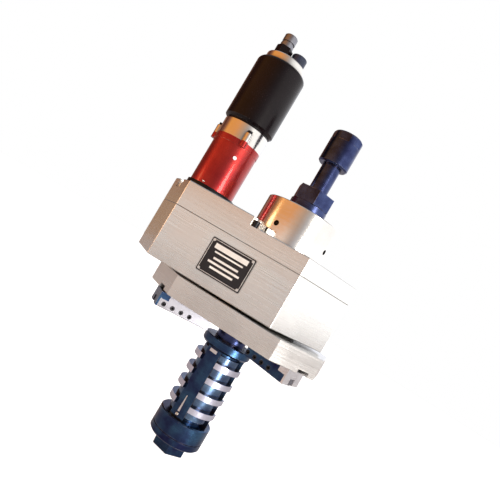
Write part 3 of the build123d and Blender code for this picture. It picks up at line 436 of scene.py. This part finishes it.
def add_bar(shape, left, right, low, high):
    """One thin raised bar on the face of the rating plate."""
    back, front = plate_low.y + PLATE_RAISE, plate_low.y - PLATE_RAISE
    corners = [shape.verts.new((x, y, z)) for y in (back, front)
               for x, z in ((left, low), (right, low), (right, high), (left, high))]
    shape.faces.new(corners[4:])
    for i in range(4):
        k = (i + 1) % 4
        shape.faces.new((corners[i], corners[k], corners[4 + k], corners[4 + i]))


def make_plate_marks():
    """A border and plain rows on the rating plate, with no lettering."""
    shape = bmesh.new()
    left, right = plate_low.x + PLATE_MARGIN, plate_high.x - PLATE_MARGIN
    low, high = plate_low.z + PLATE_MARGIN, plate_high.z - PLATE_MARGIN
    for bottom in (low, high - PLATE_LINE):
        add_bar(shape, left, right, bottom, bottom + PLATE_LINE)
    for side in (left, right - PLATE_LINE):
        add_bar(shape, side, side + PLATE_LINE, low, high)
    width = right - left
    for start, end, share, thick in PLATE_ROWS:
        level = low + share * (high - low)
        add_bar(shape, left + start * width, left + end * width, level, level + thick)
    piece("rating_plate_marks", shape, "plate_marks", "gearbox")


# ---- light and floor ----
# The room's colours by direction: 0 and 1 are behind the machine, 0.25 its left and 0.75 its right.
LOW_ROOM = ((0.0, (0.30, 0.18, 0.12)), (0.06, (0.12, 0.06, 0.05)), (0.12, (0.62, 0.40, 0.25)),
            (0.18, (0.22, 0.12, 0.10)), (0.27, (0.50, 0.50, 0.58)), (0.36, (1.05, 1.08, 1.08)),
            (0.44, (1.15, 1.18, 1.18)), (0.50, (0.35, 0.38, 0.46)), (0.57, (0.60, 0.64, 0.72)),
            (0.64, (1.9, 1.9, 1.9)), (0.93, (1.9, 1.9, 1.9)), (1.0, (0.45, 0.50, 0.62)))
HIGH_ROOM = ((0.0, (0.30, 0.10, 0.07)), (0.05, (0.05, 0.015, 0.01)), (0.10, (0.40, 0.18, 0.11)),
             (0.15, (0.06, 0.02, 0.015)), (0.22, (0.25, 0.09, 0.05)), (0.27, (0.90, 0.36, 0.08)),
             (0.40, (0.86, 0.35, 0.10)), (0.49, (0.55, 0.36, 0.24)), (0.54, (0.50, 0.47, 0.47)),
             (0.60, (1.0, 1.0, 1.0)), (0.68, (1.25, 1.25, 1.25)), (0.94, (1.35, 1.35, 1.4)),
             (1.0, (0.6, 0.65, 0.8)))
ROOM_SPLIT = (0.055, 0.095)
CEILING_SPLIT, CEILING = (0.55, 0.85), (0.40, 0.40, 0.42)
SEEN_WHITE = (1.0, 1.0, 1.0)
MIDDLE = (0, 0, 0.35)
# Each light: its name, place, target, size, power and colour.
LIGHTS = (("key_right", (1.3, -1.1, 0.5), MIDDLE, 0.6, 17, (1.0, 0.92, 0.82)),
          ("low_right", (0.62, -0.42, 0.0), (0, 0, 0.0), 0.22, 2.4, (1, 1, 1)),
          ("warm_left", (-1.5, -0.6, 0.4), MIDDLE, 0.5, 3, (1.0, 0.55, 0.25)))
FLOOR_R, FLOOR_DROP, FLOOR_PATCH, FLOOR_ROUGH = 6.0, 0.0005, 3.0, 0.7
FLOOR_DARKER, FLOOR_LIGHTER = (0.84, 0.83, 0.82), (0.88, 0.87, 0.86)


def along(tree, direction, axis):
    """How far a direction runs along an axis."""
    dot = tree.nodes.new("ShaderNodeVectorMath")
    dot.operation = "DOT_PRODUCT"
    dot.inputs[1].default_value = axis
    link(tree, direction, dot.inputs[0])
    return dot.outputs["Value"]


def bands(tree, value, stops):
    """A run of colours, each at its place along value."""
    colours = tree.nodes.new("ShaderNodeValToRGB")
    link(tree, value, colours.inputs["Fac"])
    for element, (place, colour) in zip(colours.color_ramp.elements, (stops[0], stops[-1])):
        element.position, element.color = place, (*colour, 1)
    for place, colour in stops[1:-1]:
        colours.color_ramp.elements.new(place).color = (*colour, 1)
    return colours.outputs["Color"]


def make_world():
    """A room that is dark and warm on the left and white on the right, but that the camera sees as white."""
    world = bpy.data.worlds.new("room")
    bpy.context.scene.world = world
    world.use_nodes = True
    tree = world.node_tree
    background = tree.nodes["Background"]
    direction = tree.nodes.new("ShaderNodeTexCoord").outputs["Generated"]
    across = along(tree, direction, (math.cos(VIEW_AZIMUTH), math.sin(VIEW_AZIMUTH), 0))
    back = along(tree, direction, (math.sin(VIEW_AZIMUTH), -math.cos(VIEW_AZIMUTH), 0))
    turn = ramp(tree, math_node(tree, "ARCTAN2", across, back), -math.pi, math.pi)
    height = along(tree, direction, (0, 0, 1))
    walls = mix_colour(tree, ramp(tree, height, *ROOM_SPLIT), bands(tree, turn, LOW_ROOM),
                       bands(tree, turn, HIGH_ROOM))
    walls = mix_colour(tree, ramp(tree, height, *CEILING_SPLIT), walls, CEILING)
    ray = tree.nodes.new("ShaderNodeLightPath")
    seen = mix_colour(tree, ray.outputs["Is Camera Ray"], walls, SEEN_WHITE)
    link(tree, seen, background.inputs["Color"])
    background.inputs["Strength"].default_value = 1.0


def make_lights():
    """Soft round lights, each turned towards its target."""
    for name, place, target, size, power, colour in LIGHTS:
        data = bpy.data.lights.new(name, "AREA")
        data.shape, data.size, data.energy, data.color = "DISK", size, power, colour
        light = bpy.data.objects.new(name, data)
        bpy.context.scene.collection.objects.link(light)
        light.location = place
        light.rotation_euler = (Vector(target) - Vector(place)).to_track_quat("-Z", "Y").to_euler()


def make_floor():
    """A pale floor just below the machine, which the camera sees as white."""
    mesh = bpy.data.meshes.new("floor")
    shape = bmesh.new()
    bmesh.ops.create_circle(shape, cap_ends=True, radius=FLOOR_R, segments=RING_STEPS)
    shape.to_mesh(mesh)
    shape.free()
    floor = bpy.data.objects.new("floor", mesh)
    floor.location.z = cad_low.z - FLOOR_DROP
    bpy.context.scene.collection.objects.link(floor)
    material = bpy.data.materials.new("floor")
    material.use_nodes = True
    tree = material.node_tree
    shader = tree.nodes["Principled BSDF"]
    patches = ramp(tree, stretched_noise(tree, FLOOR_PATCH), *CLOUD_SPAN)
    link(tree, mix_colour(tree, patches, FLOOR_DARKER, FLOOR_LIGHTER), shader.inputs["Base Color"])
    shader.inputs["Roughness"].default_value = FLOOR_ROUGH
    shader.inputs["Emission Color"].default_value = (1, 1, 1, 1)
    ray = tree.nodes.new("ShaderNodeLightPath")
    link(tree, ray.outputs["Is Camera Ray"], shader.inputs["Emission Strength"])
    mesh.materials.append(material)


make_camera()
finishes = {name: finish_material(name, **sizes) for name, sizes in FINISHES.items()}
dress_cad(finishes)
make_foot_ring()
make_land_screws()
make_set_screw()
make_plate_marks()
make_world()
make_lights()
make_floor()
bpy.context.scene.view_settings.view_transform = "Standard"
